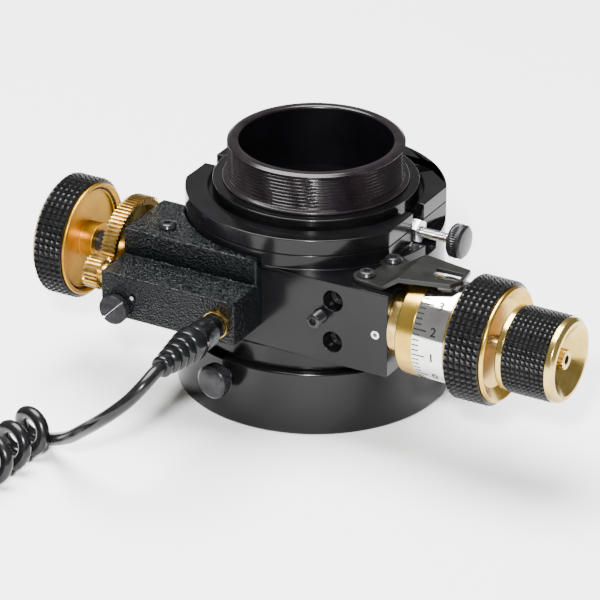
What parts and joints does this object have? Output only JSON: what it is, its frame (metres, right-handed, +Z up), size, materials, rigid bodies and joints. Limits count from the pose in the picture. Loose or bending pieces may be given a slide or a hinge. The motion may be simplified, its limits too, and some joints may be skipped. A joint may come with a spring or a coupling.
{
  "type": "motorised crayford focuser",
  "caption": "Telescope focuser: threaded drawtube moved by a friction shaft with coarse and fine knobs, scale dial, geared motor and curly cord.",
  "frame": {"origin": "centre of the base ring's underside, on the optical axis", "axes": "+Z up the optical axis towards the eyepiece, +X along the focus shaft towards the fine knob, -Y towards the motor cover's front"},
  "size_m": [0.2288, 0.1706, 0.0743],
  "materials": {
    "black_anodised": "glossy black anodise",
    "satin_black": "satin black anodise",
    "wrinkle_paint": "black wrinkle paint",
    "steel": "bright turned steel",
    "black_steel": "black oxide",
    "gold_anodised": "polished gold anodise",
    "brass": "turned brass",
    "dial_label": "silver label with black marks",
    "grip_rubber": "knurled black rubber",
    "cord_jacket": "glossy black cord jacket",
    "plug_metal": "dark bright metal",
    "black_plastic": "moulded black",
    "bracket_metal": "plain sheet",
    "nylon": "natural nylon"
  },
  "bodies": {
    "housing": {"focuser_body": "black_anodised", "top_collar": "black_anodised", "bearing_axles": "steel", "reduction_housing": "brass", "shaft_bushes": "brass", "tension_pad": "nylon", "tension_screw": "steel", "body_cap_screws": "black_steel", "reduction_set_screw": "steel", "lock_nut": "steel", "index_plate": "satin_black", "index_plate_screws": "black_steel", "motor_cover": "wrinkle_paint", "cover_top_screw": "black_steel", "cover_slotted_screw": "black_steel", "cover_small_screw": "steel", "motor_bracket": "bracket_metal", "gearbox": "brass", "motor_can": "steel", "jack_socket": "black_plastic", "jack_nut": "brass", "plug": "plug_metal", "strain_relief": "cord_jacket", "cord_lead": "cord_jacket", "curly_cord": "cord_jacket", "cord_tail": "cord_jacket", "far_strain_relief": "cord_jacket", "far_plug": "plug_metal"},
    "drawtube": {"drawtube": "satin_black", "thread_adapter": "satin_black", "drive_strip": "steel", "baffle_ring": "satin_black"},
    "focus_drive": {"drive_shaft": "black_steel", "reduction_balls": "steel", "coarse_knob": "gold_anodised", "scale_dial": "dial_label", "coarse_grip": "grip_rubber", "coarse_set_screw": "steel", "drive_gear": "brass", "left_knob": "gold_anodised", "left_grip": "grip_rubber", "left_knob_screw": "black_steel"},
    "fine_drive": {"fine_shaft": "steel", "fine_knob": "gold_anodised", "fine_grip": "grip_rubber", "fine_knob_screw": "gold_anodised"},
    "motor_output": {"motor_gear": "brass", "motor_shaft": "steel"},
    "bearing_1": {"bearing_high_right": "steel"},
    "bearing_2": {"bearing_high_left": "steel"},
    "bearing_3": {"bearing_low_right": "steel"},
    "bearing_4": {"bearing_low_left": "steel"},
    "lock_screw": {"lock_thumbscrew": "black_steel"},
    "base": {"base_ring": "black_anodised"},
    "base_screw_1": {"base_thumbscrew_1": "black_steel"},
    "base_screw_2": {"base_thumbscrew_2": "black_steel"},
    "base_screw_3": {"base_thumbscrew_3": "black_steel"}
  },
  "joints": [
    {"name": "focus_spin", "type": "hinge", "parent": "housing", "child": "focus_drive", "pos_m": [0, -0.0271, 0.0399], "axis": [1, 0, 0], "range_deg": [0, 360]},
    {"name": "drawtube_travel", "type": "slide", "parent": "housing", "child": "drawtube", "axis": [0, 0, 1], "range_m": [0, 0.01886]},
    {"name": "fine_spin", "type": "hinge", "parent": "housing", "child": "fine_drive", "pos_m": [0, -0.0271, 0.0399], "axis": [1, 0, 0], "range_deg": [-1, 3601]},
    {"name": "motor_spin", "type": "hinge", "parent": "housing", "child": "motor_output", "pos_m": [0, -0.04705, 0.04129], "axis": [1, 0, 0], "range_deg": [-1278, 1]},
    {"name": "bearing_spin_1", "type": "hinge", "parent": "housing", "child": "bearing_1", "pos_m": [0.02044, 0.02351, 0.053], "axis": [-0.7547, 0.6561, 0], "range_deg": [-1, 217]},
    {"name": "bearing_spin_2", "type": "hinge", "parent": "housing", "child": "bearing_2", "pos_m": [-0.02044, 0.02351, 0.053], "axis": [-0.7547, -0.6561, 0], "range_deg": [-1, 217]},
    {"name": "bearing_spin_3", "type": "hinge", "parent": "housing", "child": "bearing_3", "pos_m": [0.02044, 0.02351, 0.0315], "axis": [-0.7547, 0.6561, 0], "range_deg": [-1, 217]},
    {"name": "bearing_spin_4", "type": "hinge", "parent": "housing", "child": "bearing_4", "pos_m": [-0.02044, 0.02351, 0.0315], "axis": [-0.7547, -0.6561, 0], "range_deg": [-1, 217]},
    {"name": "lock_screw_spin", "type": "hinge", "parent": "housing", "child": "lock_screw", "pos_m": [0.04, 0, 0.053], "axis": [1, 0, 0], "range_deg": [0, 720]},
    {"name": "base_rotation", "type": "hinge", "parent": "housing", "child": "base", "pos_m": [0, 0, 0.01], "axis": [0, 0, 1], "continuous": true},
    {"name": "base_screw_spin_1", "type": "hinge", "parent": "base", "child": "base_screw_1", "pos_m": [-0.00695, -0.03939, 0.0148], "axis": [-0.1736, -0.9848, 0], "range_deg": [0, 720]},
    {"name": "base_screw_spin_2", "type": "hinge", "parent": "base", "child": "base_screw_2", "pos_m": [0.03759, 0.01368, 0.0148], "axis": [0.9397, 0.342, 0], "range_deg": [0, 720]},
    {"name": "base_screw_spin_3", "type": "hinge", "parent": "base", "child": "base_screw_3", "pos_m": [-0.03064, 0.02571, 0.0148], "axis": [-0.766, 0.6428, 0], "range_deg": [0, 720]}
  ],
  "couplings": [
    {"joint": "drawtube_travel", "follows": "focus_spin", "m_per_rad": 0.003},
    {"joint": "fine_spin", "follows": "focus_spin", "ratio": 10},
    {"joint": "motor_spin", "follows": "focus_spin", "ratio": -3.5455},
    {"joint": "bearing_spin_1", "follows": "focus_spin", "ratio": 0.6},
    {"joint": "bearing_spin_2", "follows": "focus_spin", "ratio": 0.6},
    {"joint": "bearing_spin_3", "follows": "focus_spin", "ratio": 0.6},
    {"joint": "bearing_spin_4", "follows": "focus_spin", "ratio": 0.6}
  ]
}
